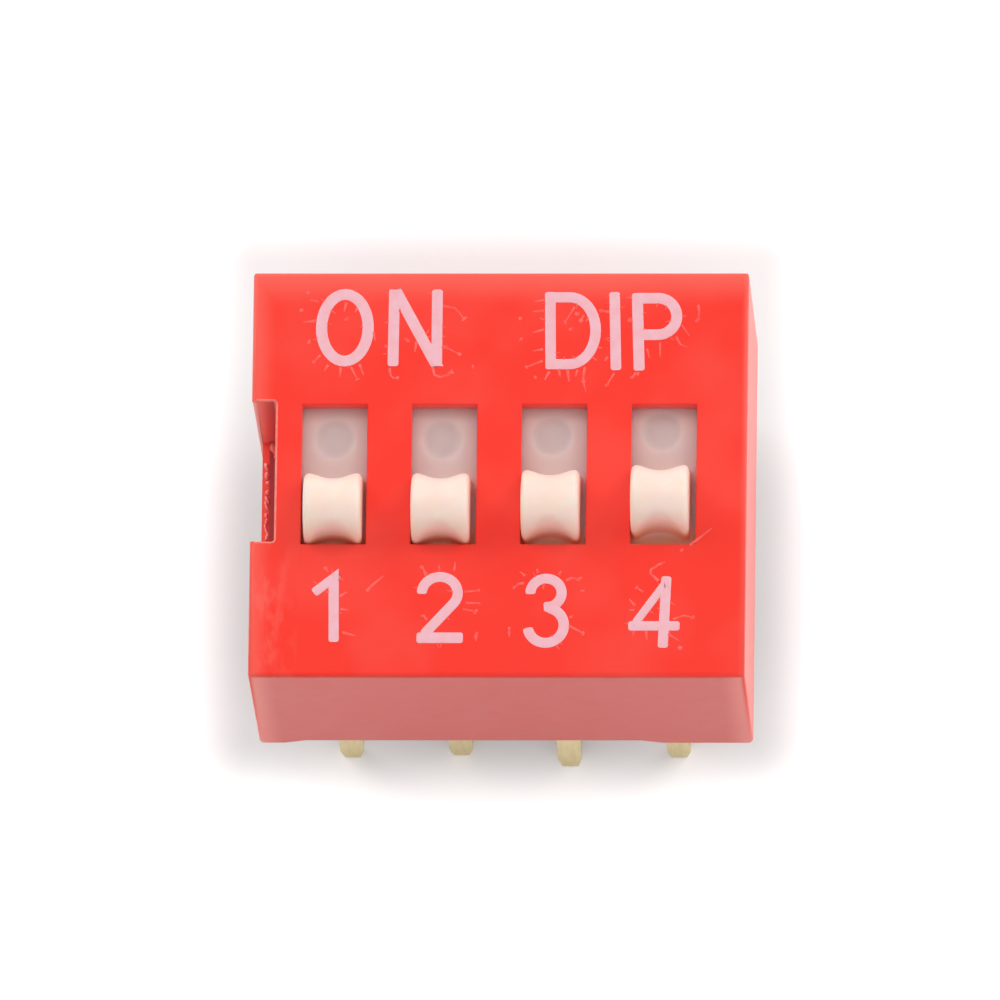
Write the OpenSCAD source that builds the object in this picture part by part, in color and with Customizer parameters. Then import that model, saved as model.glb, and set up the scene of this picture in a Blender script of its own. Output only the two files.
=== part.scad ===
// Four-way slide switch in a dual in-line package.
// +X runs along the row from switch 1 to switch 4, +Y points to the ON side and +Z points up.
// The origin is the middle of the pin grid on the board that the feet stand on.

/* [Switch row] */
// Distance from one switch to the next
pitch = 2.54; // [2.5:0.01:2.7]
// Distance between the front and back rows of pins
row_gap = 7.62; // [7.5:0.01:7.8]
// Distance from the middle of an end switch to the end of the cover
end_margin = 1.93; // [1.85:0.01:2.3]
// How far the switches and the cover lie to the left of the pins
switch_left = 0.11; // [0:0.01:0.14]

/* [Cover] */
// Distance from a row of pins to the front or back of the cover
row_margin = 1.065; // [0.95:0.005:1.4]
// Height of the cover's top above the board
cover_h = 5.5; // [5.4:0.05:6.2]
// Thickness of the top wall
top_t = 0.35; // [0.3:0.05:0.6]
// Thickness of the front and back walls
side_t = 0.5; // [0.4:0.05:0.55]
// Thickness of the end walls beside the base
end_t = 0.6; // [0.5:0.05:0.7]
// Radius along the outer edges
edge_r = 0.12; // [0.04:0.01:0.16]
// Width of each slot
slot_w = 1.51; // [1.4:0.01:1.6]
// Length of each slot
slot_l = 3.37; // [3.1:0.01:3.6]

/* [Gate notch] */
// How deep the notch goes into the left end
notch_d = 0.56; // [0.4:0.01:0.6]
// Length of the notch
notch_l = 3.37; // [2.8:0.01:3.8]
// How far the notch's middle lies behind the slots' middle
notch_back = 0.07; // [0:0.01:0.2]
// Radius in the corners of the notch
notch_r = 0.06; // [0.04:0.01:0.2]
// Height of the notch's ledge above the board
ledge_z = 2.1; // [1.9:0.05:2.4]
// How far the ledge stands back from the end of the cover
ledge_back = 0.09; // [0.02:0.01:0.12]
// Length of the gate stub left on the ledge
stub_l = 2.6; // [1.5:0.1:2.8]
// Width of the gate stub
stub_w = 0.16; // [0.1:0.01:0.2]
// Height of the gate stub
stub_h = 0.06; // [0.03:0.01:0.1]

/* [Feet] */
// Height of the feet below the long walls' edges
foot_h = 0.2; // [0.1:0.05:0.3]
// Length of the feet at the left end
left_foot = 0.6; // [0.6:0.05:1.2]
// Length of the feet at the right end
right_foot = 2.1; // [0.6:0.05:2.2]
// Length of the slope from a foot up to the edge
foot_slope = 0.5; // [0.2:0.05:0.8]

/* [Sliders] */
// Length of a knob, which is also the diameter of its round top
knob_l = 1.66; // [1.5:0.01:1.8]
// Mean gap beside a knob in its slot
knob_gap = 0.08; // [0.07:0.01:0.1]
// Radius of the knob's corners and rims
knob_r = 0.12; // [0.05:0.01:0.15]
// Radius across the finger scoops
scoop_r = 0.9; // [0.7:0.01:1]
// Depth of the finger scoops at the knob's foot
scoop_d = 0.2; // [0.1:0.01:0.22]
// How far up the round top the scoops run out, in degrees above its foot
scoop_top = 60; // [50:1:70]
// Gap between a knob and the end of its slot
stop_gap = 0.02; // [0.01:0.01:0.05]
// How far each slider stands back from its front stop, from switch 1 to 4
slider_back = [0, 0, 0.08, 0.2]; // [0:0.01:0.5]
// How far each slider lies to the left of its slot's middle, from switch 1 to 4
slider_left = [0.01, 0.06, 0.06, 0.07]; // [0:0.01:0.07]
// How far a slider's shutter covers past the slot when fully moved
shutter_lap = 0.2; // [0.1:0.01:0.3]
// Thickness of the shutter under the top wall
shutter_t = 0.5; // [0.4:0.05:0.6]
// Running gap beside and under a slider
run_gap = 0.08; // [0.07:0.01:0.1]
// Gap between a shutter and the top wall that its spring lifts it to
lift_gap = 0.02; // [0.01:0.01:0.06]
// Radius of the round ejector marks in the shutter
mark_r = 0.46; // [0.35:0.01:0.55]
// Depth of the ejector marks
mark_d = 0.1; // [0.05:0.01:0.15]

/* [Contacts] */
// Distance from a slider's middle to each foot of its spring contact
foot_y = 1.25; // [1.15:0.01:1.3]
// Width of a spring contact
contact_w = 1.1; // [1:0.05:1.2]
// Thickness of a spring contact
contact_t = 0.1; // [0.08:0.01:0.12]
// Height of a spring contact over its feet
contact_h = 0.78; // [0.74:0.01:0.86]
// Length of the flat crown of a spring contact
crown_l = 0.8; // [0.76:0.02:0.9]
// Radius under the feet of a spring contact
foot_r = 0.3; // [0.25:0.01:0.35]
// Width of the slit that splits each arm in two
slit_w = 0.16; // [0.1:0.01:0.2]
// Radius of the peg that holds a spring contact
peg_r = 0.2; // [0.16:0.01:0.22]

/* [Base] */
// Height of the base's underside above the board
base_z = 0.45; // [0.45:0.05:0.6]
// Height of the base's flange above the board
flange_z = 1.45; // [1.3:0.05:1.5]
// Height of the contact tracks above the board
track_z = 2.8; // [2.6:0.05:3]
// Gap between the base and the cover
base_gap = 0.02; // [0.01:0.01:0.04]
// Thickness of the wall between two sliders
wall_t = 0.48; // [0.44:0.01:0.56]

/* [Terminals] */
// Thickness of the terminal strip
strip_t = 0.25; // [0.2:0.01:0.3]
// Width of the contact tracks
track_w = 1.2; // [1.1:0.05:1.3]
// Width of a terminal's neck inside the base
neck_w = 0.9; // [0.7:0.05:1]
// Width of a pin
pin_w = 0.55; // [0.45:0.01:0.6]
// Width of a pin at its tip
tip_w = 0.36; // [0.25:0.01:0.44]
// Length of the tapered end of a pin
taper_l = 0.35; // [0.2:0.05:1.5]
// Length of a pin below the base's underside
pin_l = 3.2; // [2.8:0.05:4]
// Where the front tracks end, behind the middle of the row
front_track_end = -0.2; // [-0.3:0.01:-0.1]
// Where the back tracks begin, behind the middle of the row
back_track_end = 0.9; // [0.75:0.01:1]
// Lean of each front pin in degrees, from switch 1 to 4
front_lean = [9, 8, 13, 9]; // [0:0.5:14]
// Lean of each back pin in degrees, from switch 1 to 4
back_lean = [9, 9, 9, 9]; // [0:0.5:14]

/* [Hidden] */
$fn = 64;

// Cuts run this much past the faces that they open
past = 1;
positions = 4;
row_l = (positions - 1) * pitch;
cover_l = row_l + 2 * end_margin;
cover_w = row_gap + 2 * row_margin;
cavity_w = cover_w - 2 * side_t;
channel_w = pitch - wall_t;
ceiling_z = cover_h - top_t;

shutter_w = channel_w - 2 * run_gap;
shutter_top = ceiling_z - lift_gap;
knob_w = slot_w - 2 * knob_gap;
travel = slot_l - knob_l - 2 * stop_gap;

// The scoops' floor is upright below scoop_z and bends in above it, to meet the round top again
scoop_floor = knob_l / 2 - scoop_d;
scoop_reach = knob_l / 2 * sin(scoop_top);
scoop_z = scoop_reach - sqrt(pow(scoop_reach, 2) - pow(knob_l / 2, 2) + pow(scoop_floor, 2));
shutter_l = knob_l + 2 * (travel + stop_gap + shutter_lap);
carrier_bottom = track_z + run_gap;
mark_y = (knob_l + shutter_l) / 4;

contact_gap = 0.02;
contact_top = track_z + contact_gap + contact_h;
arm_y = foot_y - crown_l / 2;
arm_drop = contact_h - contact_t;
arm_angle = 2 * atan(arm_drop / arm_y);
arm_r = arm_y / sin(arm_angle) - foot_r;
tip_angle = 35;
contact_end = foot_y + foot_r * sin(tip_angle) + contact_t;
pocket_gap = 0.1;
pocket_w = contact_w + pocket_gap;
pocket_l = 2 * (contact_end + pocket_gap);
carrier_wall_t = 0.25;
carrier_l = pocket_l + 2 * carrier_wall_t;
peg_gap = 0.03;
peg_head_t = 0.1;
peg_head_r = peg_r + peg_head_t;

bend_r = 0.1;
lean_r = 0.4;
divider_h = 0.5;
divider_z = track_z + divider_h;
catch_d = 0.12;
catch_h = 0.23;
catch_l = 1.2;

// Place of switch n or pin n along its row
function row_x(n) = (n - (positions + 1) / 2) * pitch;

// Middle of the knob of slider n at rest
function slider_place(n) = [
    row_x(n) - switch_left - slider_left[n - 1],
    -travel / 2 + slider_back[n - 1],
    0
];

// Draws a shape of the side view, with Y across and Z up, as a bar of width w along X
module side_bar(w) {
    rotate([90, 0, 90]) linear_extrude(w, center = true) children();
}

// Draws a shape of the front view, with X across and Z up, as a bar of depth d along Y
module front_bar(d) {
    rotate([90, 0, 0]) linear_extrude(d, center = true) children();
}

// A block that is centred in X and Y and runs from one height to another
module block(w, l, from_z, to_z) {
    translate([-w / 2, -l / 2, from_z]) cube([w, l, to_z - from_z]);
}

module rounded_rect(w, l, r) {
    square([w - 2 * r, l], center = true);
    square([w, l - 2 * r], center = true);
    for (x = [-1, 1], y = [-1, 1]) translate([x * (w / 2 - r), y * (l / 2 - r)]) circle(r);
}

// A rectangle that stands on the X axis, with its two top corners rounded
module round_topped(w, h, r) {
    intersection() {
        rounded_rect(w, 2 * h, r);
        translate([-w / 2, 0]) square([w, h]);
    }
}

// A band of thickness t along an arc of radius r, from one angle to another, less than 180 apart
module arc_band(r, t, from, to) {
    reach = 2 * r + 2 * t;
    intersection() {
        difference() {
            circle(r + t / 2);
            circle(r - t / 2);
        }
        polygon([
            [0, 0],
            reach * [cos(from), sin(from)],
            reach * [cos((from + to) / 2), sin((from + to) / 2)],
            reach * [cos(to), sin(to)]
        ]);
    }
}

module at_each_switch() {
    for (n = [1 : positions]) translate([row_x(n), 0, 0]) children();
}

module cover_blank() {
    intersection() {
        linear_extrude(cover_h) rounded_rect(cover_l, cover_w, edge_r);
        front_bar(cover_w + past) round_topped(cover_l, cover_h, edge_r);
        side_bar(cover_l + past) round_topped(cover_w, cover_h, edge_r);
    }
}

// Room for the base below, and for one slider in each channel above
module cover_cavity() {
    block(cover_l - 2 * end_t, cavity_w, -past, flange_z);
    block(row_l + channel_w, cavity_w, 0, divider_z);
    at_each_switch() block(channel_w, cavity_w, 0, ceiling_z);
}

module gate_notch() {
    translate([-cover_l / 2, notch_back, ledge_z]) {
        linear_extrude(cover_h) rounded_rect(2 * notch_d, notch_l, notch_r);
    }
    translate([-cover_l / 2, notch_back, 0]) block(2 * ledge_back, notch_l, -past, cover_h);
}

module gate_stub() {
    stub_x = -cover_l / 2 + (ledge_back + notch_d) / 2;
    translate([stub_x, notch_back, 0]) block(stub_w, stub_l, ledge_z - stub_h, ledge_z + stub_h);
}

// The long walls stop short of the board between their end feet
module foot_relief() {
    left = -cover_l / 2 + left_foot;
    right = cover_l / 2 - right_foot;
    front_bar(cover_w + past) polygon([
        [left, 0],
        [left, -past],
        [right, -past],
        [right, 0],
        [right - foot_slope, foot_h],
        [left + foot_slope, foot_h]
    ]);
}

// Ridges inside the long walls that the base snaps over
module catches() {
    for (side = [-1, 1], x = [-pitch, pitch]) {
        translate([x, side * cavity_w / 2, base_z - base_gap]) mirror([0, side > 0 ? 0 : 1, 0])
            side_bar(catch_l) polygon([[0, 0], [-catch_d, 0], [0, -catch_h]]);
    }
}

module cover() {
    color("red") translate([-switch_left, 0, 0]) {
        difference() {
            cover_blank();
            cover_cavity();
            at_each_switch() block(slot_w, slot_l, ceiling_z - past, cover_h + past);
            gate_notch();
            foot_relief();
        }
        gate_stub();
        catches();
    }
}

// The space that one front terminal takes up in the base, with square corners
module terminal_seat(track_end) {
    leg_y = -row_gap / 2;
    translate([-track_w / 2, leg_y - strip_t / 2, track_z - strip_t])
        cube([track_w, track_end - leg_y + strip_t / 2, strip_t + past]);
    translate([switch_left, leg_y, 0]) {
        block(neck_w, strip_t, base_z - past, track_z);
        translate([0, bend_r, 0]) block(neck_w, strip_t, track_z - strip_t - bend_r, track_z);
    }
}

module base() {
    color("dimgray") translate([-switch_left, 0, 0]) difference() {
        union() {
            flange_l = cover_l - 2 * (end_t + base_gap);
            core_l = row_l + channel_w - 2 * base_gap;
            base_w = cavity_w - 2 * base_gap;
            block(flange_l, base_w, base_z, flange_z - base_gap);
            block(core_l, base_w, base_z, track_z);
            for (n = [1 : positions - 1]) translate([row_x(n) + pitch / 2, 0, 0])
                block(wall_t, base_w, track_z - strip_t, divider_z - base_gap);
        }
        at_each_switch() {
            terminal_seat(front_track_end);
            mirror([0, 1, 0]) terminal_seat(-back_track_end);
        }
    }
}

// The knob stands up through the slot: a straight stem under a half-round top
module knob() {
    translate([0, 0, shutter_top - shutter_t])
        linear_extrude(cover_h - shutter_top + shutter_t) rounded_rect(knob_w, knob_l, knob_r);
    translate([0, 0, cover_h]) rotate([90, 0, 90]) rotate_extrude(angle = 180)
        intersection() {
            rounded_rect(knob_l, knob_w, knob_r);
            translate([0, -knob_w / 2]) square([knob_l / 2, knob_w]);
        }
}

// Two hollows for a fingertip or a pen, which fade out over the round top
module finger_scoops() {
    for (side = [-1, 1]) translate([0, side * (scoop_floor + scoop_r), shutter_top])
        cylinder(r = scoop_r, h = cover_h + scoop_z - shutter_top + past);
    translate([0, 0, cover_h + scoop_z]) rotate([90, 0, 90]) rotate_extrude(angle = 180)
        translate([scoop_floor + scoop_r, 0]) circle(scoop_r);
}

module ejector_marks() {
    for (side = [-1, 1]) translate([0, side * mark_y, shutter_top - mark_d])
        cylinder(r1 = mark_r - mark_d, r2 = mark_r + mark_d, h = 2 * mark_d);
}

// The peg passes through the crown of the contact and is spread out under it
module peg() {
    translate([0, 0, contact_top - contact_t - peg_head_t]) {
        cylinder(r = peg_r, h = contact_t + peg_head_t + past / 2);
        cylinder(r = peg_head_r, h = peg_head_t);
    }
}

module slider() {
    color("linen") {
        difference() {
            union() {
                block(shutter_w, shutter_l, shutter_top - shutter_t, shutter_top);
                block(shutter_w, carrier_l, carrier_bottom, shutter_top - shutter_t / 2);
            }
            ejector_marks();
            block(pocket_w, pocket_l, carrier_bottom - past, contact_top);
        }
        difference() {
            knob();
            finger_scoops();
        }
        peg();
    }
}

module contact_profile() {
    for (side = [0, 1]) mirror([side, 0]) {
        translate([0, contact_top - contact_t]) square([crown_l / 2, contact_t]);
        translate([crown_l / 2, contact_top - contact_t / 2 - arm_r])
            arc_band(arm_r, contact_t, 90 - arm_angle, 90);
        translate([foot_y, track_z + contact_gap + contact_t / 2 + foot_r])
            arc_band(foot_r, contact_t, 270 - arm_angle, 270 + tip_angle);
    }
}

module contact() {
    color("gold") difference() {
        side_bar(contact_w) contact_profile();
        translate([0, 0, track_z]) cylinder(r = peg_r + peg_gap, h = contact_h + past);
        for (side = [-1, 1]) translate([0, side * (crown_l / 2 + contact_end), 0])
            block(slit_w, 2 * contact_end, track_z - past, contact_top + past);
    }
}

// One front terminal: a track under the switch, a neck through the base and a leaning pin below
module terminal(track_end, lean) {
    leg_y = -row_gap / 2;
    bend_y = leg_y + strip_t / 2 + bend_r;
    bend_z = track_z - strip_t - bend_r;
    color("goldenrod") {
        translate([-switch_left - track_w / 2, bend_y, track_z - strip_t])
            cube([track_w, track_end - bend_y, strip_t]);
        translate([0, bend_y, bend_z]) side_bar(neck_w) arc_band(bend_r + strip_t / 2, strip_t, 90, 180);
        translate([0, leg_y, 0]) block(neck_w, strip_t, base_z, bend_z);
        translate([0, leg_y - lean_r, base_z]) {
            side_bar(pin_w) arc_band(lean_r, strip_t, -lean, 0);
            rotate([-lean, 0, 0]) translate([0, lean_r, 0]) pin_blade();
        }
    }
}

module pin_blade() {
    straight = pin_l - taper_l;
    front_bar(strip_t) polygon([
        [-pin_w / 2, 0],
        [pin_w / 2, 0],
        [pin_w / 2, -straight],
        [tip_w / 2, -pin_l],
        [-tip_w / 2, -pin_l],
        [-pin_w / 2, -straight]
    ]);
}

module terminal_front(n) {
    translate([row_x(n), 0, 0]) terminal(front_track_end, front_lean[n - 1]);
}

module terminal_back(n) {
    translate([row_x(n), 0, 0]) mirror([0, 1, 0]) terminal(-back_track_end, back_lean[n - 1]);
}

cover();
base();
for (n = [1 : positions]) {
    translate(slider_place(n)) slider();
    translate(slider_place(n)) contact();
    terminal_front(n);
    terminal_back(n);
}
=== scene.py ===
import math
import random

import bmesh
import bpy
from mathutils import Matrix, Vector


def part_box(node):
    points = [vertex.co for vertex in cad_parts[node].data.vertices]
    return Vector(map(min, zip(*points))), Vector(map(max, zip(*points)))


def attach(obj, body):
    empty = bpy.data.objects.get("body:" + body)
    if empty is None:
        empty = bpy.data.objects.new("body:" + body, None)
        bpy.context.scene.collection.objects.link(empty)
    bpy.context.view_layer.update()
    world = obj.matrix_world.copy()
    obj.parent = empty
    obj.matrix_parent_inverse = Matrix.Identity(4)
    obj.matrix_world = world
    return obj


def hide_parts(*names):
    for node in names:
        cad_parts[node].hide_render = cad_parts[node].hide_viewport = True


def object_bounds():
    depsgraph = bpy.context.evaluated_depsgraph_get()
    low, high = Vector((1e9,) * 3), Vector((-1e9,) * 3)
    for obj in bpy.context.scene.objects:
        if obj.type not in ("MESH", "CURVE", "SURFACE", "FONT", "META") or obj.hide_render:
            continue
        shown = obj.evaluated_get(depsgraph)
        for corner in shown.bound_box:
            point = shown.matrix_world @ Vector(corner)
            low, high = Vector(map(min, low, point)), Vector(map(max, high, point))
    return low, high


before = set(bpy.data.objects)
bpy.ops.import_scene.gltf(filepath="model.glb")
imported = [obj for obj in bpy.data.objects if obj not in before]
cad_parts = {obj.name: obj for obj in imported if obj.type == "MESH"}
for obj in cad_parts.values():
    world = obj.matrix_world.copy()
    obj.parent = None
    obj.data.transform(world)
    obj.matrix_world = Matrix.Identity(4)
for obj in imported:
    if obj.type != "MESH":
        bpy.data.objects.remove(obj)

MM = 0.001
SWITCHES = (1, 2, 3, 4)
cad_low, cad_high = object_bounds()
cover_low, cover_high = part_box("cover")
cover_middle = (cover_low + cover_high) / 2

# The upper side of the shutters, which close the slots from below
SHUTTER_TOP = cover_high.z - 0.37 * MM

# The gate notch in the cover's left end, and the ledge in it
NOTCH_DEPTH, NOTCH_LENGTH, NOTCH_MIDDLE = 0.56 * MM, 3.37 * MM, 0.07 * MM
NOTCH_WALL = cover_low.x + NOTCH_DEPTH
NOTCH_FRONT = NOTCH_MIDDLE - NOTCH_LENGTH / 2
NOTCH_BACK = NOTCH_MIDDLE + NOTCH_LENGTH / 2
LEDGE_TOP = 2.1 * MM


# ---------------------------------------------------------------- steps that the sections share

def mesh_object(name, mesh):
    """Puts a finished bmesh into the scene as a piece."""
    data = bpy.data.meshes.new(name)
    mesh.to_mesh(data)
    mesh.free()
    piece = bpy.data.objects.new(name, data)
    bpy.context.scene.collection.objects.link(piece)
    return piece


def finish_piece(piece, body, slot, *materials):
    """Gives a piece its finishes and the body that it rides on. Its slot argument is not used."""
    for material in materials:
        piece.data.materials.append(material)
    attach(piece, body)


def shade_smooth(mesh):
    for face in mesh.faces:
        face.smooth = True


def add(owner, kind, **settings):
    """A new node in the shader of a material or of the world."""
    node = owner.node_tree.nodes.new(kind)
    for name, value in settings.items():
        setattr(node, name, value)
    return node


def join(owner, output, entry):
    owner.node_tree.links.new(output, entry)


def feed(owner, entry, value):
    """Gives an entry its value, which is another node's output or a constant."""
    if isinstance(value, bpy.types.NodeSocket):
        join(owner, value, entry)
    else:
        entry.default_value = value


def maths(owner, operation, first, *others):
    """One operation along a row of values, each a number or a node's output."""
    for other in others:
        node = add(owner, "ShaderNodeMath", operation=operation)
        feed(owner, node.inputs[0], first)
        feed(owner, node.inputs[1], other)
        first = node.outputs["Value"]
    return first


def vector_maths(owner, operation, first, second=(0, 0, 0), result="Vector"):
    """One operation on two vectors, each three numbers or a node's output."""
    node = add(owner, "ShaderNodeVectorMath", operation=operation)
    feed(owner, node.inputs[0], first)
    feed(owner, node.inputs[1], second)
    return node.outputs[result]


def ramp(owner, value, start, end, low=0, high=1):
    """Turns start to end into low to high, smoothly."""
    node = add(owner, "ShaderNodeMapRange", interpolation_type="SMOOTHSTEP")
    join(owner, value, node.inputs["Value"])
    node.inputs["From Min"].default_value = start
    node.inputs["From Max"].default_value = end
    node.inputs["To Min"].default_value = low
    node.inputs["To Max"].default_value = high
    return node.outputs["Result"]


def object_place(material):
    return add(material, "ShaderNodeTexCoord").outputs["Object"]


def axes(material):
    """The three Object coordinates, each as one value."""
    node = add(material, "ShaderNodeSeparateXYZ")
    join(material, object_place(material), node.inputs["Vector"])
    return node.outputs["X"], node.outputs["Y"], node.outputs["Z"]


def cloud(material, size, stretch=(1, 1, 1), detail=2):
    """A soft noise from 0 to 1, with lumps of the given size."""
    scaled = add(material, "ShaderNodeMapping", vector_type="POINT")
    join(material, object_place(material), scaled.inputs["Vector"])
    scaled.inputs["Scale"].default_value = [1 / (size * s) for s in stretch]
    node = add(material, "ShaderNodeTexNoise")
    node.inputs["Scale"].default_value = 1
    node.inputs["Detail"].default_value = detail
    join(material, scaled.outputs["Vector"], node.inputs["Vector"])
    return node.outputs["Fac"]


def patches(material, size, stretch=(1, 1, 1), detail=4, noise=(0.35, 0.7), result=(0, 1)):
    """Soft patches, which fade in over a span of the noise and give a span of results."""
    return ramp(material, cloud(material, size, stretch, detail), *noise, *result)


def mix(material, factor, first, second):
    """A colour between two, each a colour or a node's output."""
    node = add(material, "ShaderNodeMix", data_type="RGBA")
    entries = {entry.name: entry for entry in node.inputs if entry.enabled}
    join(material, factor, entries["Factor"])
    for name, colour in (("A", first), ("B", second)):
        feed(material, entries[name], (*colour, 1) if isinstance(colour, tuple) else colour)
    return next(output for output in node.outputs if output.enabled)


def bump(material, shader, height, depth):
    node = add(material, "ShaderNodeBump")
    node.inputs["Distance"].default_value = depth
    join(material, height, node.inputs["Height"])
    join(material, node.outputs["Normal"], shader.inputs["Normal"])


def new_finish(name, roughness, **sockets):
    """A material with its shader. A socket's name has underscores here in place of spaces."""
    material = bpy.data.materials.new(name)
    material.use_nodes = True
    shader = material.node_tree.nodes["Principled BSDF"]
    shader.inputs["Roughness"].default_value = roughness
    for socket, value in sockets.items():
        shader.inputs[socket.replace("_", " ")].default_value = value
    return material, shader


# ---------------------------------------------------------------- camera, lights and floor

def make_camera():
    """A long lens from far off, high above the front and turned a little on its own axis."""
    azimuth, elevation, roll = math.radians(9.04), math.radians(73.36), math.radians(-8.66)
    distance = 800 * MM
    pixels_per_metre = 43009
    frame_pixels = 1000
    aim_right, aim_up = -8.9 / pixels_per_metre, 41.2 / pixels_per_metre
    nearest, farthest = 0.1, 10

    back = Vector((math.sin(azimuth) * math.cos(elevation),
                   -math.cos(azimuth) * math.cos(elevation),
                   math.sin(elevation)))
    level = Vector((math.cos(azimuth), math.sin(azimuth), 0))
    steep = back.cross(level)
    right = math.cos(roll) * level + math.sin(roll) * steep
    up = math.cos(roll) * steep - math.sin(roll) * level

    camera = bpy.data.objects.new("camera", bpy.data.cameras.new("camera"))
    camera.matrix_world = Matrix((right, up, back)).transposed().to_4x4()
    camera.location = back * distance + right * aim_right + up * aim_up
    camera.location.x += cover_middle.x
    camera.data.lens = camera.data.sensor_width * pixels_per_metre * distance / frame_pixels
    camera.data.clip_start, camera.data.clip_end = nearest, farthest
    bpy.context.scene.collection.objects.link(camera)
    bpy.context.scene.camera = camera


def area_light(name, size, watts, place):
    """A lamp with a flat rectangular face, which points at the middle of the pin grid."""
    light = bpy.data.objects.new(name, bpy.data.lights.new(name, "AREA"))
    light.data.shape = "RECTANGLE"
    light.data.size, light.data.size_y = size
    light.data.energy = watts
    light.location = place
    light.rotation_euler = (-Vector(place)).to_track_quat("-Z", "Y").to_euler()
    bpy.context.scene.collection.objects.link(light)


def seen_or_mirrored(owner):
    """1 for rays from the camera, from a gloss and through a clear material, otherwise 0."""
    rays = add(owner, "ShaderNodeLightPath").outputs
    return maths(owner, "MAXIMUM", rays["Is Camera Ray"], rays["Is Glossy Ray"],
                 rays["Is Transmission Ray"])


def make_world(strength):
    """An even studio light that shows as plain white behind the object."""
    world = bpy.data.worlds.new("studio")
    world.use_nodes = True
    background = world.node_tree.nodes["Background"]
    level = add(world, "ShaderNodeMix")
    level.inputs["A"].default_value = strength
    level.inputs["B"].default_value = 1
    join(world, seen_or_mirrored(world), level.inputs["Factor"])
    join(world, level.outputs["Result"], background.inputs["Strength"])
    background.inputs["Color"].default_value = (1, 1, 1, 1)
    bpy.context.scene.world = world


def make_floor():
    """A white table. It turns plain white a little way out from the object's soft shadow."""
    table_half = 0.4
    shadow_middle = Vector((-0.34, 1.8, 0)) * MM
    shadow_half = Vector((5.85, 5.73, 0)) * MM
    shadow_reach = 2.2 * MM
    near_lift, full_lift = 0.17, 0.75
    white = (0.8, 0.8, 0.8, 1)

    mesh = bmesh.new()
    bmesh.ops.create_grid(mesh, x_segments=1, y_segments=1, size=table_half)
    bmesh.ops.translate(mesh, verts=mesh.verts, vec=(0, 0, cad_low.z))
    floor = mesh_object("floor", mesh)

    table = bpy.data.materials.new("white table")
    table.use_nodes = True
    nodes = table.node_tree.nodes
    nodes.remove(nodes["Principled BSDF"])

    outside = vector_maths(table, "SUBTRACT", object_place(table), shadow_middle)
    outside = vector_maths(table, "ABSOLUTE", outside)
    outside = vector_maths(table, "SUBTRACT", outside, shadow_half)
    outside = vector_maths(table, "MAXIMUM", outside, (0, 0, 0))
    outside = vector_maths(table, "MULTIPLY", outside, (1, 1, 0))
    distance = vector_maths(table, "LENGTH", outside, result="Value")
    lift = ramp(table, distance, 0, shadow_reach, near_lift, full_lift)

    paint = add(table, "ShaderNodeBsdfDiffuse")
    paint.inputs["Color"].default_value = white
    glow = add(table, "ShaderNodeEmission")
    seen_lift = maths(table, "MULTIPLY", seen_or_mirrored(table), lift)
    join(table, seen_lift, glow.inputs["Strength"])
    both = add(table, "ShaderNodeAddShader")
    join(table, paint.outputs["BSDF"], both.inputs[0])
    join(table, glow.outputs["Emission"], both.inputs[1])
    join(table, both.outputs["Shader"], nodes["Material Output"].inputs["Surface"])
    floor.data.materials.append(table)


# ---------------------------------------------------------------- finishes

# A colour that belongs to one wall ends this far off it
SKIN = 0.01 * MM
WARM_SHEEN = {"Sheen_Roughness": 0.5, "Sheen_Tint": (1, 0.93, 0.85, 1)}


def rim_highlights(material, front_wall):
    """Painted highlights: where the red is painted paler along the back and end rims, and at the
    front wall's ends.
    """
    back_rim, left_rim, right_rim, wall_end = 0.9 * MM, 0.6 * MM, 0.2 * MM, 0.64 * MM
    half_length = cover_high.x - cover_middle.x
    x, y, _ = axes(material)
    back = ramp(material, y, cover_high.y - back_rim, cover_high.y, 0, 0.55)
    left = ramp(material, x, cover_low.x + left_rim, cover_low.x, 0, 0.5)
    right = ramp(material, x, cover_high.x - right_rim, cover_high.x, 0, 0.4)
    from_middle = maths(material, "ABSOLUTE", maths(material, "SUBTRACT", x, cover_middle.x), 0)
    ends = ramp(material, from_middle, half_length - wall_end, half_length, 0, 0.9)
    return maths(material, "MAXIMUM", back, left, right,
                 maths(material, "MULTIPLY", ends, front_wall))


def corner_scuffs(material):
    """Faint streaks on the top's front left corner."""
    right_end, back_end, back_fade = cover_low.x + 1.44 * MM, -1.2 * MM, 1.2 * MM
    top_starts, top_full = cover_high.z - 0.2 * MM, cover_high.z - 0.1 * MM
    x, y, z = axes(material)
    return maths(material, "MULTIPLY",
                 ramp(material, x, right_end, cover_low.x),
                 ramp(material, y, back_end, back_end - back_fade),
                 patches(material, 0.35 * MM, (1, 2.4, 1), noise=(0.46, 0.66)),
                 ramp(material, z, top_starts, top_full, 0, 0.8))


def notch_corner_shade(material):
    """Painted shade on the ledge, in the corner between the notch's wall and the torn bead."""
    width, width_fade, height, height_fade = 0.28 * MM, 0.05 * MM, 0.05 * MM, 0.2 * MM
    x, y, z = axes(material)
    return maths(material, "MULTIPLY",
                 ramp(material, x, NOTCH_WALL - width - width_fade, NOTCH_WALL - width),
                 ramp(material, x, NOTCH_WALL + 2 * SKIN, NOTCH_WALL + SKIN),
                 ramp(material, z, LEDGE_TOP + height + height_fade, LEDGE_TOP + height),
                 ramp(material, y, NOTCH_FRONT - 2 * SKIN, NOTCH_FRONT),
                 ramp(material, y, NOTCH_BACK + 2 * SKIN, NOTCH_BACK))


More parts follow.
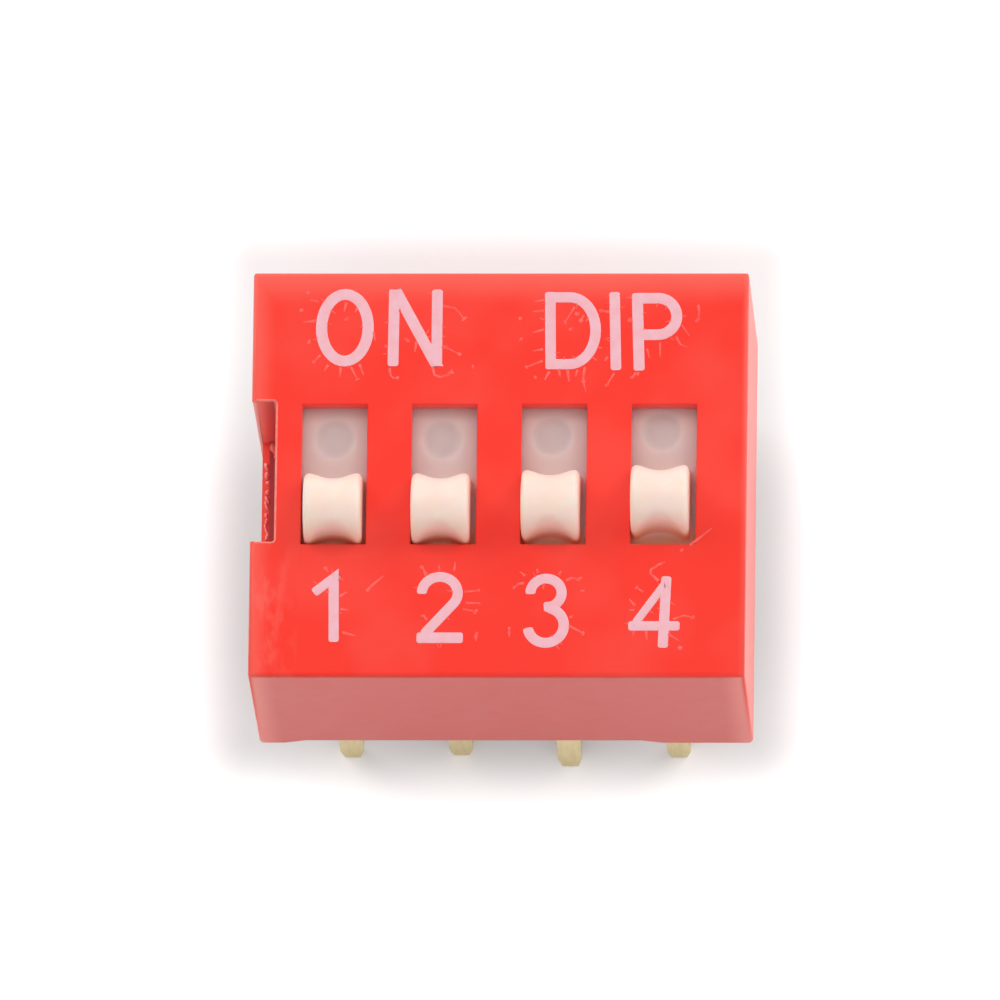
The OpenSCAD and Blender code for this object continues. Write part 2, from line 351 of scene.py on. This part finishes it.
def notch_back_wall(material):
    """Two parts of the notch's back wall, as painted light and shade: its paler outer rim and its
    darker inner corner.
    """
    lit_width, shade_width = 0.35 * MM, 0.45 * MM
    x, y, _ = axes(material)
    wall = maths(material, "MULTIPLY",
                 ramp(material, y, NOTCH_BACK + 3 * SKIN, NOTCH_BACK + SKIN),
                 ramp(material, y, NOTCH_BACK - 3 * SKIN, NOTCH_BACK - SKIN))
    pale = maths(material, "MULTIPLY", wall,
                 ramp(material, x, cover_low.x + lit_width, cover_low.x, 0, 0.9))
    dark = maths(material, "MULTIPLY", wall,
                 ramp(material, x, NOTCH_WALL + 2 * SKIN, NOTCH_WALL + SKIN),
                 ramp(material, x, NOTCH_WALL - shade_width, NOTCH_WALL, 0, 0.8))
    return pale, dark


def red_plastic():
    """Moulded red plastic, a little cloudy, with a faint scuff; painted highlights along the rims,
    painted shade on the front wall, and painted light and shade in the notch.
    """
    # The third of these reds is painted shade on the front wall alone.
    body, milky, dull = (0.96, 0.032, 0.017), (0.96, 0.052, 0.034), (0.70, 0.02, 0.005)
    # The first of these two reds is a painted highlight, along the rims and on the notch's outer
    # back wall; the second is a scuff's wear.
    paler, scuffed = (0.96, 0.17, 0.13), (0.96, 0.12, 0.09)
    # Both of these reds are painted shade in the notch: beside its wall on the ledge, and in its
    # back wall's inner corner.
    shaded, dark = (0.36, 0.045, 0.050), (0.42, 0.01, 0.006)
    material, shader = new_finish("red plastic", 0.36, Specular_IOR_Level=0.25,
                                  Sheen_Weight=0.16, **WARM_SHEEN)
    _, y, _ = axes(material)
    front_wall = ramp(material, y, cover_low.y + 2 * SKIN, cover_low.y + SKIN)
    lit_end, shaded_end = notch_back_wall(material)

    colour = mix(material, patches(material, 2.2 * MM, detail=2), body, milky)
    for place, tint in ((front_wall, dull), (rim_highlights(material, front_wall), paler),
                        (corner_scuffs(material), scuffed), (notch_corner_shade(material), shaded),
                        (lit_end, paler), (shaded_end, dark)):
        colour = mix(material, place, colour, tint)
    join(material, colour, shader.inputs["Base Color"])

    patchy = patches(material, 0.5 * MM, noise=(0.3, 0.7), result=(0.36, 0.39))
    join(material, patchy, shader.inputs["Roughness"])
    bump(material, shader, cloud(material, 0.05 * MM, detail=3), 0.0003 * MM)
    return material


def paler_red():
    """The same red, paler, on the notch's rounded rim and on the crumbs."""
    pale, less_pale = (0.96, 0.26, 0.20), (0.93, 0.14, 0.11)
    material, shader = new_finish("frosted red", 0.5)
    patchy = patches(material, 0.2 * MM, noise=(0.3, 0.7))
    join(material, mix(material, patchy, pale, less_pale), shader.inputs["Base Color"])
    return material


def torn_red():
    """The shiny torn skin where the moulding's gate was snapped off."""
    red, pale = (0.93, 0.16, 0.15), (0.97, 0.50, 0.46)
    material, shader = new_finish("torn red", 0.16)
    # The paler patches are painted glints on the shiny bead.
    pale_glints = patches(material, 0.12 * MM)
    join(material, mix(material, pale_glints, red, pale), shader.inputs["Base Color"])
    bump(material, shader, cloud(material, 0.1 * MM, detail=1), 0.004 * MM)
    return material


def black_plastic():
    """The base's matt moulded plastic."""
    black, greyer = (0.018, 0.018, 0.019), (0.035, 0.034, 0.034)
    material, shader = new_finish("black plastic", 0.45)
    grey = patches(material, 0.8 * MM)
    join(material, mix(material, grey, black, greyer), shader.inputs["Base Color"])
    bump(material, shader, cloud(material, 0.06 * MM, detail=3), 0.0015 * MM)
    return material


def ivory_plastic():
    """Ivory nylon that lets a little light in, with painted light and shade: warmer at a knob's foot
    and in front of it, grey-pink on the shutters in the slots and darker in the ejector marks.
    """
    body, pale = (0.95, 0.735, 0.64), (0.96, 0.77, 0.68)
    # These two colours are painted warm bounce light and shade: at a knob's foot and in front of it.
    warm, glowing = (0.96, 0.62, 0.45), (0.97, 0.42, 0.26)
    # These two colours are painted shade: on the shutter down in its slot and in its ejector mark.
    slot_shade, mark_shade = (0.77, 0.52, 0.49), (0.70, 0.475, 0.45)
    foot_ends = cover_high.z + 0.55 * MM
    glow_front, glow_back = -1.7 * MM, -1.5 * MM
    material, shader = new_finish("ivory plastic", 0.42, Subsurface_Weight=0.8,
                                  Subsurface_Scale=0.7 * MM,
                                  Subsurface_Radius=(1, 0.5, 0.25))
    _, y, z = axes(material)
    foot = ramp(material, z, foot_ends, SHUTTER_TOP + 0.1 * MM)
    shutter = ramp(material, z, SHUTTER_TOP + 0.09 * MM, SHUTTER_TOP + 0.02 * MM)
    mark = ramp(material, z, SHUTTER_TOP - 0.005 * MM, SHUTTER_TOP - 0.035 * MM)
    front = maths(material, "MULTIPLY",
                  ramp(material, y, glow_back + 0.4 * MM, glow_back),
                  ramp(material, y, glow_front - 0.2 * MM, glow_front),
                  ramp(material, z, SHUTTER_TOP + 0.55 * MM, SHUTTER_TOP + 0.05 * MM))

    cloudy = patches(material, 0.7 * MM, detail=2, noise=(0.3, 0.7))
    colour = mix(material, cloudy, body, pale)
    for place, tint in ((foot, warm), (shutter, slot_shade), (mark, mark_shade), (front, glowing)):
        colour = mix(material, place, colour, tint)
    join(material, colour, shader.inputs["Base Color"])
    bump(material, shader, cloud(material, 0.04 * MM, detail=3), 0.001 * MM)
    return material


def gold_plate(name, bright, dark, grain, stretch, metallic):
    """Thin plating on a stamped strip, with faint rolling lines along it."""
    material, shader = new_finish(name, 0.3, Metallic=metallic)
    lines = patches(material, grain, stretch)
    join(material, mix(material, lines, bright, dark), shader.inputs["Base Color"])
    rough = patches(material, 0.2 * MM, noise=(0.3, 0.7), result=(0.30, 0.42))
    join(material, rough, shader.inputs["Roughness"])
    bump(material, shader, cloud(material, 0.05 * MM, stretch), 0.0006 * MM)
    return material


def pad_ink():
    """White ink, thin enough for the red to warm it."""
    full, warmed = (0.87, 0.485, 0.55), (0.88, 0.42, 0.455)
    material, shader = new_finish("white ink", 0.5)
    thin = patches(material, 0.25 * MM, noise=(0.35, 0.75))
    join(material, mix(material, thin, full, warmed), shader.inputs["Base Color"])
    return material


def spread_ink():
    """The same ink where it has crept out in hairs and drops, thinner and redder."""
    full, redder = (0.96, 0.12, 0.10), (0.95, 0.055, 0.042)
    material, shader = new_finish("crept ink", 0.4, Sheen_Weight=0.27, **WARM_SHEEN)
    thin = patches(material, 0.15 * MM, detail=3)
    join(material, mix(material, thin, full, redder), shader.inputs["Base Color"])
    return material


def dress(node_name, material):
    """Gives a node its finish."""
    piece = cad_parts[node_name]
    piece.data.materials.clear()
    piece.data.materials.append(material)


# ---------------------------------------------------------------- mouldings with their soft edges

def welded(node_name):
    """A copy of a node's mesh with its triangles joined and its flat faces whole."""
    weld, flat = 0.0005 * MM, math.radians(0.5)
    mesh = bmesh.new()
    mesh.from_mesh(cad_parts[node_name].data)
    bmesh.ops.remove_doubles(mesh, verts=mesh.verts, dist=weld)
    bmesh.ops.dissolve_limit(mesh, angle_limit=flat, verts=mesh.verts, edges=mesh.edges)
    return mesh


def soften(mesh, edges, radius, segments=3):
    """Rounds sharp edges and shades the round faces smoothly."""
    made = bmesh.ops.bevel(mesh, geom=edges, affect="EDGES", offset=radius, offset_type="OFFSET",
                           segments=segments, profile=0.5, material=-1, clamp_overlap=False)
    for face in made["faces"]:
        face.smooth = True
    return made["faces"]


def near(value, target):
    tolerance = 0.004 * MM
    return abs(value - target) < tolerance


def edges_where(mesh, holds):
    """The edges with a condition that holds at both of their ends."""
    return [edge for edge in mesh.edges if all(holds(v.co) for v in edge.verts)]


def sharp(edges):
    """Those of the edges whose two faces meet at more than half a radian."""
    return [edge for edge in edges if edge.calc_face_angle(0) > 0.5]


def upright(edge):
    return all(near(edge.verts[0].co[axis], edge.verts[1].co[axis]) for axis in (0, 1))


def soft_cover(red, paler):
    """The cover with soft slots, a rounded edge behind its gate notch and a pale rim along it."""
    slot_rim, notch_rim, notch_corner = 0.03 * MM, 0.05 * MM, 0.12 * MM
    end_margin, slots_reach, slack, no_length = 0.3 * MM, 2 * MM, 0.01 * MM, 0.001 * MM
    top = cover_high.z
    mesh = welded("cover")

    def by_slots(place):
        return (NOTCH_WALL + end_margin < place.x < cover_high.x - end_margin
                and abs(place.y) < slots_reach)

    def on_notch_back(place):
        return near(place.x, cover_low.x) and near(place.y, NOTCH_BACK)

    def on_notch_rim(place):
        return (near(place.z, top) and place.x < NOTCH_WALL + slack
                and NOTCH_FRONT - slack < place.y < NOTCH_BACK + slack)

    slot_edges = edges_where(mesh, by_slots)
    rims = [edge for edge in sharp(slot_edges) if all(near(v.co.z, top) for v in edge.verts)]
    corners = [edge for edge in slot_edges
               if upright(edge) and any(near(v.co.z, top) for v in edge.verts)]
    soften(mesh, rims + corners, slot_rim)
    soften(mesh, sharp(edges_where(mesh, on_notch_back)), notch_corner, segments=4)
    for face in soften(mesh, sharp(edges_where(mesh, on_notch_rim)), notch_rim):
        face.material_index = 1
    bmesh.ops.dissolve_degenerate(mesh, dist=no_length, edges=mesh.edges)
    piece = mesh_object("cover_moulding", mesh)
    finish_piece(piece, "housing", "cover", red, paler)
    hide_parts("cover")


def cut_off(mesh, height, outward):
    """Cuts away what lies past a level plane, on the side that outward points to."""
    cut = bmesh.ops.bisect_plane(mesh, geom=mesh.verts[:] + mesh.edges[:] + mesh.faces[:],
                                 plane_co=(0, 0, height), plane_no=(0, 0, outward),
                                 clear_outer=True)
    rim = [part for part in cut["geom_cut"] if isinstance(part, bmesh.types.BMEdge)]
    bmesh.ops.edgeloop_fill(mesh, edges=[edge for edge in rim if edge.is_boundary])


def rounded_off(mesh, grain, rounds):
    """Remeshes a closed shape evenly, then smooths it, so that its edges and creases turn soft."""
    # The mesh is enlarged while it is remeshed, so that a millimetre counts as one
    bmesh.ops.scale(mesh, verts=mesh.verts, vec=(1 / MM, 1 / MM, 1 / MM))
    rough = mesh_object("rough", mesh)
    even = rough.modifiers.new("even grain", "REMESH")
    even.mode = "VOXEL"
    even.voxel_size = grain / MM
    ready = rough.evaluated_get(bpy.context.evaluated_depsgraph_get())
    soft = bmesh.new()
    soft.from_mesh(ready.data)
    data = rough.data
    bpy.data.objects.remove(rough)
    bpy.data.meshes.remove(data)
    for _ in range(rounds):
        bmesh.ops.smooth_vert(soft, verts=soft.verts, factor=0.5,
                              use_axis_x=True, use_axis_y=True, use_axis_z=True)
    bmesh.ops.scale(soft, verts=soft.verts, vec=(MM, MM, MM))
    shade_smooth(soft)
    return soft


def soft_slider(n, ivory):
    """One slider. The edges of its knob and of its finger scoops run softly into each other."""
    name = f"slider_{n}"
    under_plate, overlap = 0.2 * MM, 0.03 * MM
    mark_depth, mark_lift = 0.1 * MM, 0.05 * MM
    grain, rounds = 0.035 * MM, 14

    upper = welded(name)
    cut_off(upper, SHUTTER_TOP - under_plate, -1)
    marks = [vert for vert in upper.verts if near(vert.co.z, SHUTTER_TOP - mark_depth)]
    bmesh.ops.translate(upper, verts=marks, vec=(0, 0, mark_lift))
    upper = rounded_off(upper, grain, rounds)
    soft = bpy.data.meshes.new("upper")
    upper.to_mesh(soft)
    upper.free()

    body = welded(name)
    cut_off(body, SHUTTER_TOP - under_plate + overlap, 1)
    body.from_mesh(soft)
    bpy.data.meshes.remove(soft)
    piece = mesh_object(f"{name}_moulding", body)
    finish_piece(piece, f"position_{n}", "slider", ivory)
    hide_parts(name)


def gate_scar(torn):
    """The lumpy bead that the snapped-off gate left along the notch's ledge, in millimetres."""
    draw = random.Random(5)
    lumps, back_end, length, unevenness = 15, 1.15, 2.65, 0.06
    thickest, thick_reach, wider, bigger = -1.15, 0.4, 0.02, 0.05
    middle, wander, raised = cover_low.x / MM + 0.21, 0.015, 0.02
    wide, long, high = (0.035, 0.06), (0.05, 0.13), (0.05, 0.11)
    tilt, turn = 0.5, 0.4

    bead = bmesh.new()
    for i in range(lumps):
        share = i / (lumps - 1)
        y = back_end - length * share + draw.uniform(-unevenness, unevenness)
        bulge = math.exp(-((y - thickest) / thick_reach) ** 2)
        lump = bmesh.ops.create_icosphere(bead, subdivisions=3, radius=1 * MM)["verts"]
        bmesh.ops.scale(bead, verts=lump, vec=(draw.uniform(*wide) + wider * bulge,
                                               draw.uniform(*long) + bigger * bulge,
                                               draw.uniform(*high) + bigger * bulge))
        bmesh.ops.rotate(bead, verts=lump,
                         matrix=Matrix.Rotation(draw.uniform(-tilt, tilt), 3, "X")
                         @ Matrix.Rotation(draw.uniform(-turn, turn), 3, "Z"))
        x = middle + draw.uniform(-wander, wander)
        bmesh.ops.translate(bead, verts=lump, vec=(x * MM, y * MM, LEDGE_TOP + raised * MM))
    shade_smooth(bead)
    finish_piece(mesh_object("gate_scar", bead), "housing", "cover", torn)


def gate_crumbs(dull):
    """Three crumbs on the ledge behind the bead, each with its place and size in millimetres."""
    crumbs = ((-5.51, 1.66, 0.11), (-5.46, 1.52, 0.07), (-5.47, 1.40, 0.05))
    flattened = (0.8, 1.2, 0.7)
    mesh = bmesh.new()
    for x, y, size in crumbs:
        lump = bmesh.ops.create_icosphere(mesh, subdivisions=3, radius=size * MM)["verts"]
        bmesh.ops.scale(mesh, verts=lump, vec=flattened)
        bmesh.ops.translate(mesh, verts=lump, vec=(x * MM, y * MM, LEDGE_TOP))
    shade_smooth(mesh)
    finish_piece(mesh_object("gate_crumbs", mesh), "housing", "cover", dull)


# ---------------------------------------------------------------- printed words and numbers

# The print's own sizes and places are in millimetres from the middle of the cover's top
PRINT_MIDDLE = Vector((cover_middle.x, 0, cover_high.z))
INK_STROKE = 0.245
INK_THICK = 0.008
HAIR_THICK = 0.005


def line(*points):
    """A stroke's middle line through the points, with a point every 0.1 mm or so."""
    step = 0.1
    path = [Vector((*points[0], 0))]
    for start, end in zip(points, points[1:]):
        start, end = Vector((*start, 0)), Vector((*end, 0))
        steps = max(1, round((end - start).length / step))
        path += [start.lerp(end, i / steps) for i in range(1, steps + 1)]
    return path


def arc(centre, radii, start, end):
    """A stroke's middle line along an ellipse, from one angle in degrees to another."""
    degrees_a_step, fewest_steps = 9, 4
    steps = max(fewest_steps, round(abs(end - start) / degrees_a_step))
    path = []
    for i in range(steps + 1):
        angle = math.radians(start + (end - start) * i / steps)
        path.append(Vector((centre[0] + radii[0] * math.cos(angle),
                            centre[1] + radii[1] * math.sin(angle), 0)))
    return path


def bar(path, width=INK_STROKE, start=None, end=None):
    """A stroke of a letter. Start and end are the directions of slanted cuts, in degrees."""
    return path, width, start, end


# The strokes of the letters and of the numbers
GLYPHS = {
    "letter_o": [bar(arc((-3.607, 3.530), (0.540, 0.805), 90, 450), 0.26)],
    "letter_n": [bar(line((-2.482, 2.601), (-2.468, 4.451)), 0.25),
                 bar(line((-2.454, 4.451), (-1.461, 2.601)), 0.26, 0, 0),
                 bar(line((-1.471, 2.601), (-1.475, 4.451)), 0.25)],
    "letter_d": [bar(line((1.171, 2.526), (1.138, 4.390))),
                 bar(line((1.14, 4.264), (1.56, 4.264)) + arc((1.60, 3.457), (0.60, 0.807), 90, -90)
                     + line((1.58, 2.650), (1.17, 2.650)))],
    "letter_i": [bar(line((2.627, 4.390), (2.682, 2.504)))],
    "letter_p": [bar(line((3.153, 4.365), (3.219, 2.492)), 0.255),
                 bar(line((3.16, 4.242), (3.61, 4.242)) + arc((3.64, 3.801), (0.433, 0.441), 90, -90)
                     + line((3.61, 3.360), (3.20, 3.360)), 0.255)],
    "number_1": [bar(line((-3.760, -4.041), (-3.782, -2.530)), 0.235),
                 bar(line((-4.239, -2.863), (-3.665, -2.409)), 0.215, None, 92)],
    "number_2": [bar(arc((-1.325, -2.865), (0.415, 0.390), 183, -36)
                     + line((-1.04, -3.15), (-1.69, -3.87)), 0.235),
                 bar(line((-1.849, -3.939), (-0.776, -3.939)), 0.255)],
    "number_3": [bar(arc((1.13, -2.86), (0.36, 0.345), 185, -62)
                     + line((1.22, -3.19), (1.08, -3.20)), 0.235),
                 bar(line((1.18, -3.20), (1.20, -3.21))
                     + arc((1.13, -3.64), (0.42, 0.42), 72, -172), 0.24)],
    "number_4": [bar(line((3.837, -4.178), (3.907, -2.462)), 0.235),
                 bar(line((3.035, -3.652), (4.223, -3.651)), 0.225),
                 bar(line((3.863, -2.657), (3.148, -3.654)), 0.19, 90, 0)],
}

# Where ink has crept along scratches, as paths, and the drops that it left
CREPT = [
    ((-4.22, 4.16), (-4.42, 4.2)), ((-4.26, 3.7), (-4.57, 3.66)), ((-4.16, 2.87), (-4.31, 2.71)),
    ((-3.98, 2.63), (-4.07, 2.49)), ((-3.69, 2.57), (-3.7, 2.35)),
    ((-3.46, 2.59), (-3.36, 2.39), (-3.3, 2.28)), ((-3.26, 2.65), (-3.16, 2.39)),
    ((-3.58, 4.14), (-3.63, 3.92)), ((-3.32, 4.0), (-3.38, 3.9)), ((-2.95, 3.43), (-2.9, 3.21)),
    ((-2.56, 2.56), (-2.54, 2.39), (-2.47, 2.31), (-2.37, 2.32)),
    ((-1.56, 2.56), (-1.52, 2.39), (-1.39, 2.34), (-1.2, 2.39), (-1.1, 2.53)),
    ((-1.36, 3.05), (-1.21, 3.03), (-0.95, 2.89)), ((-1.33, 4.06), (-1.06, 4.0), (-0.85, 3.74)),
    ((-1.94, 3.19), (-1.98, 2.95)),
    ((0.99, 4.2), (0.77, 4.16)), ((0.99, 3.94), (0.75, 3.92)), ((1.01, 3.49), (0.74, 3.41)),
    ((0.99, 3.01), (0.76, 2.97)), ((0.98, 2.73), (0.61, 2.58)), ((1.14, 2.47), (1.04, 2.27)),
    ((1.56, 2.51), (1.6, 2.23)), ((1.79, 2.51), (1.75, 2.35)), ((1.36, 2.51), (1.39, 2.34)),
    ((1.96, 2.58), (1.93, 2.39), (1.93, 2.22), (1.99, 1.99)), ((1.71, 4.03), (1.49, 3.66)),
    ((1.93, 3.84), (1.83, 3.67)),
    ((2.64, 2.43), (2.48, 2.15)), ((2.5, 3.91), (2.32, 3.94)), ((2.49, 2.82), (2.42, 2.73)),
    ((3.15, 2.44), (3.05, 2.32)), ((3.2, 2.46), (3.19, 2.36)),
    ((4.06, 3.31), (4.16, 3.13), (4.33, 3.05)), ((4.19, 3.59), (4.37, 3.33)),
    ((4.57, 4.08), (4.59, 3.88), (4.56, 3.72)), ((4.19, 3.82), (4.29, 3.81)),
    ((3.69, 3.18), (3.7, 2.82)), ((3.39, 3.02), (3.45, 2.8)),
    ((-3.62, -3.25), (-3.43, -3.27)), ((-3.56, -3.81), (-3.27, -3.89)),
    ((-3.63, -2.94), (-3.47, -2.84)), ((-3.91, -2.36), (-3.98, -2.26)),
    ((-3.01, -2.83), (-2.9, -2.69), (-2.63, -2.45)),
    ((-1.65, -2.41), (-1.75, -2.21)), ((-1.34, -2.33), (-1.35, -2.19)),
    ((-1.0, -2.33), (-0.98, -2.11)), ((-0.76, -2.83), (-0.43, -2.81)),
    ((-0.72, -3.1), (-0.41, -3.11)), ((-0.78, -3.25), (-0.5, -3.31)),
    ((-1.61, -3.51), (-1.7, -3.41)), ((-0.45, -3.8), (-0.48, -4.02)),
    ((0.64, -2.45), (0.52, -2.35)), ((0.62, -2.62), (0.48, -2.65), (0.39, -2.73)),
    ((0.94, -2.38), (0.91, -2.28)), ((1.42, -2.43), (1.47, -2.33)),
    ((1.59, -2.56), (1.72, -2.5), (1.87, -2.53)), ((1.69, -3.46), (1.76, -3.39)),
    ((1.67, -3.65), (2.0, -3.83)), ((0.29, -3.68), (0.29, -3.92)),
    ((3.37, -2.84), (3.22, -2.73)), ((3.19, -3.17), (3.05, -3.01)),
    ((3.17, -3.27), (3.06, -3.27)), ((4.07, -3.49), (4.32, -3.4), (4.52, -3.45)),
    ((3.96, -3.85), (4.22, -4.01)), ((3.17, -3.77), (3.15, -3.89)), ((3.45, -3.77), (3.47, -3.99)),
    ((4.441, -1.707), (4.945, -1.298)),
]
CURLED_HAIR = ((3.72, -2.57), (3.6, -2.46), (3.53, -2.39), (3.55, -2.29), (3.65, -2.24),
               (3.75, -2.15), (3.87, -2.12))
DROPS = [
    (-4.62, 3.95), (-4.47, 4.38), (-4.43, 3.19), (-4.31, 2.71), (-3.3, 2.28), (-3.57, 3.74),
    (-2.37, 2.32), (-1.14, 2.44), (-0.63, 2.59), (-0.95, 2.89), (-0.85, 3.74), (-2.65, 3.08),
    (-2.16, 3.23), (0.45, 3.75), (0.47, 3.25), (0.61, 2.58), (0.82, 2.33), (1.93, 2.23),
    (1.49, 3.66), (1.86, 3.7), (1.77, 3.86), (1.62, 3.49), (2.32, 3.94), (2.48, 2.15),
    (2.99, 3.72), (4.56, 3.72), (3.05, 2.33), (-3.98, -2.27), (-1.75, -2.24), (-0.43, -2.8),
    (-0.43, -3.11), (-0.49, -3.31), (-1.7, -3.41), (-0.48, -3.91), (0.39, -2.73), (1.9, -2.52),
    (2.0, -3.83), (0.29, -3.81), (1.97, -2.81), (3.75, -2.17), (3.22, -2.73), (4.52, -3.45),
    (4.24, -4.18), (4.25, -1.83),
]


def on_top(point, heading):
    """A place on the cover's top, turned to a heading."""
    return Matrix.Translation(point * MM + PRINT_MIDDLE) @ Matrix.Rotation(heading, 4, "Z")


def pointing(heading):
    return Vector((math.cos(heading), math.sin(heading), 0))


def direction(path, i):
    """Which way a path runs at one of its points."""
    return path[min(i + 1, len(path) - 1)] - path[max(i - 1, 0)]


def sweep(mesh, ovals, thick, corners, closed=False):
    """Runs ink along flat ovals on the cover's top, each a point, a heading and a width."""
    previous = first = None
    for point, heading, width in ovals:
        ring = bmesh.ops.create_circle(mesh, segments=corners, radius=0.5 * MM)["verts"]
        place = (on_top(point, heading) @ Matrix.Rotation(math.pi / 2, 4, "Y")
                 @ Matrix.Diagonal((thick * 2, width, 1, 1)))
        bmesh.ops.transform(mesh, matrix=place, verts=ring)
        edges = list({edge for vert in ring for edge in vert.link_edges})
        if previous:
            bmesh.ops.bridge_loops(mesh, edges=previous + edges)
        first, previous = first or edges, edges
    if not closed:
        for end in (first, previous):
            bmesh.ops.contextual_create(mesh, geom=end)


def rounded_ends(path):
    """Adds points close to both ends, where a stroke's corners are round."""
    close, clear = (0.012, 0.03, 0.06), 0.08
    first, last = path[0], path[-1]
    ahead = (path[1] - first).normalized()
    behind = (path[-2] - last).normalized()
    inner = [point for point in path[1:-1]
             if (point - first).length > clear and (point - last).length > clear]
    return ([first] + [first + ahead * d for d in close] + inner
            + [last + behind * d for d in reversed(close)] + [last])


def stroke(mesh, path, width, thick, start, end):
    """One stroke of a letter, with round corners or slanted cuts at its ends."""
    corner_widths, touching = (0.55, 0.80, 0.94), 1e-7
    closed = (path[0] - path[-1]).length < touching
    if not closed:
        path = rounded_ends(path)
    ovals = []
    for i, point in enumerate(path):
        ahead, wide = direction(path, i), width
        if closed and i in (0, len(path) - 1):
            ahead = path[1] - path[-2]
        heading = math.atan2(ahead.y, ahead.x)
        ends = () if closed else ((i, start), (len(path) - 1 - i, end))
        for steps, cut in ends:
            if cut is None and steps < len(corner_widths):
                wide *= corner_widths[steps]
            elif cut is not None and steps == 0:
                slant = math.radians(cut)
                wide /= abs(math.sin(slant - heading))
                heading = slant - math.pi / 2
        ovals.append((point, heading, wide))
    sweep(mesh, ovals, thick, corners=10, closed=closed)


def hair(mesh, points, width, thick):
    """One thin run of ink that gets thinner towards its end."""
    thinning = 0.55
    path = line(*points)
    ovals = []
    for i, point in enumerate(path):
        ahead = direction(path, i)
        share = i / (len(path) - 1)
        ovals.append((point, math.atan2(ahead.y, ahead.x), width * (1 - thinning * share)))
    sweep(mesh, ovals, thick, corners=6)


def short_hairs(mesh, draw, path, width):
    """Short hairs on both sides of a stroke, at random."""
    hairs_a_millimetre, edge_share, lean = 2.4, 0.45, 0.6
    lengths, widths, unevenness = (0.06, 0.16), (0.03, 0.045), 0.001
    length = sum((b - a).length for a, b in zip(path, path[1:]))
    for _ in range(round(hairs_a_millimetre * length)):
        i = draw.randrange(1, len(path))
        along = path[i] - path[i - 1]
        heading = math.atan2(along.y, along.x) + draw.choice((-1, 1)) * math.pi / 2
        root = path[i] + pointing(heading) * width * edge_share
        tip = root + pointing(heading + draw.uniform(-lean, lean)) * draw.uniform(*lengths)
        hair(mesh, (root.xy, tip.xy), draw.uniform(*widths),
             HAIR_THICK + draw.uniform(0, unevenness))


def drop(mesh, draw, place, size, thick):
    """A flat, uneven drop of ink."""
    lump = bmesh.ops.create_uvsphere(mesh, u_segments=12, v_segments=6, radius=0.5 * MM)["verts"]
    long = draw.uniform(0.9, 1.5)
    shape = (on_top(Vector((*place, 0)), draw.uniform(0, math.pi))
             @ Matrix.Diagonal((size * long, size / long, thick * 2, 1)))
    bmesh.ops.transform(mesh, matrix=shape, verts=lump)


def print_top():
    """The pad print: ON over the slots' far ends, DIP beside it, and a number to each switch."""
    ink, crept = pad_ink(), spread_ink()
    draw = random.Random(7)
    layer_step, unevenness = 0.0015, 0.002
    hair_widths, curled_width, drop_sizes = (0.05, 0.07), 0.075, (0.07, 0.11)
    hairs = bmesh.new()
    for name, strokes in GLYPHS.items():
        mesh = bmesh.new()
        for layer, (path, width, start, end) in enumerate(strokes):
            stroke(mesh, path, width, INK_THICK + layer_step * layer, start, end)
            short_hairs(hairs, draw, path, width)
        bmesh.ops.recalc_face_normals(mesh, faces=mesh.faces)
        finish_piece(mesh_object(name, mesh), "housing", "cover", ink)
    for points in CREPT:
        hair(hairs, points, draw.uniform(*hair_widths),
             HAIR_THICK + draw.uniform(0, unevenness))
    hair(hairs, CURLED_HAIR, curled_width, HAIR_THICK)
    for place in DROPS:
        drop(hairs, draw, place, draw.uniform(*drop_sizes),
             HAIR_THICK + draw.uniform(0, unevenness))
    bmesh.ops.recalc_face_normals(hairs, faces=hairs.faces)
    finish_piece(mesh_object("ink_hairs", hairs), "housing", "cover", crept)


# ---------------------------------------------------------------- the scene

bpy.context.scene.view_settings.view_transform = "Standard"
make_camera()
make_world(strength=0.46)
area_light("back strip", size=(0.6, 0.15), watts=0.3, place=(0, 0.24, 0.38))
area_light("left softbox", size=(0.25, 0.25), watts=0.64, place=(-0.29, 0.25, 0.26))
area_light("right softbox", size=(0.25, 0.25), watts=0.57, place=(0.29, 0.25, 0.26))
area_light("side strip", size=(0.15, 0.5), watts=0.25, place=(0.40, 0.05, 0.20))
area_light("front strip", size=(0.6, 0.15), watts=0.32, place=(0.05, -0.27, 0.34))
make_floor()

paler = paler_red()
soft_cover(red_plastic(), paler)
gate_scar(torn_red())
gate_crumbs(paler)
dress("base", black_plastic())
ivory = ivory_plastic()
spring = gold_plate("gold spring", bright=(0.90, 0.66, 0.32), dark=(0.80, 0.55, 0.25),
                    grain=0.08 * MM, stretch=(1, 8, 1), metallic=1)
strip = gold_plate("pale gold plate", bright=(0.77, 0.66, 0.38), dark=(0.71, 0.59, 0.315),
                   grain=0.1 * MM, stretch=(1, 1, 10), metallic=0.5)
for n in SWITCHES:
    soft_slider(n, ivory)
    dress(f"contact_{n}", spring)
    dress(f"terminal_front_{n}", strip)
    dress(f"terminal_back_{n}", strip)
print_top()
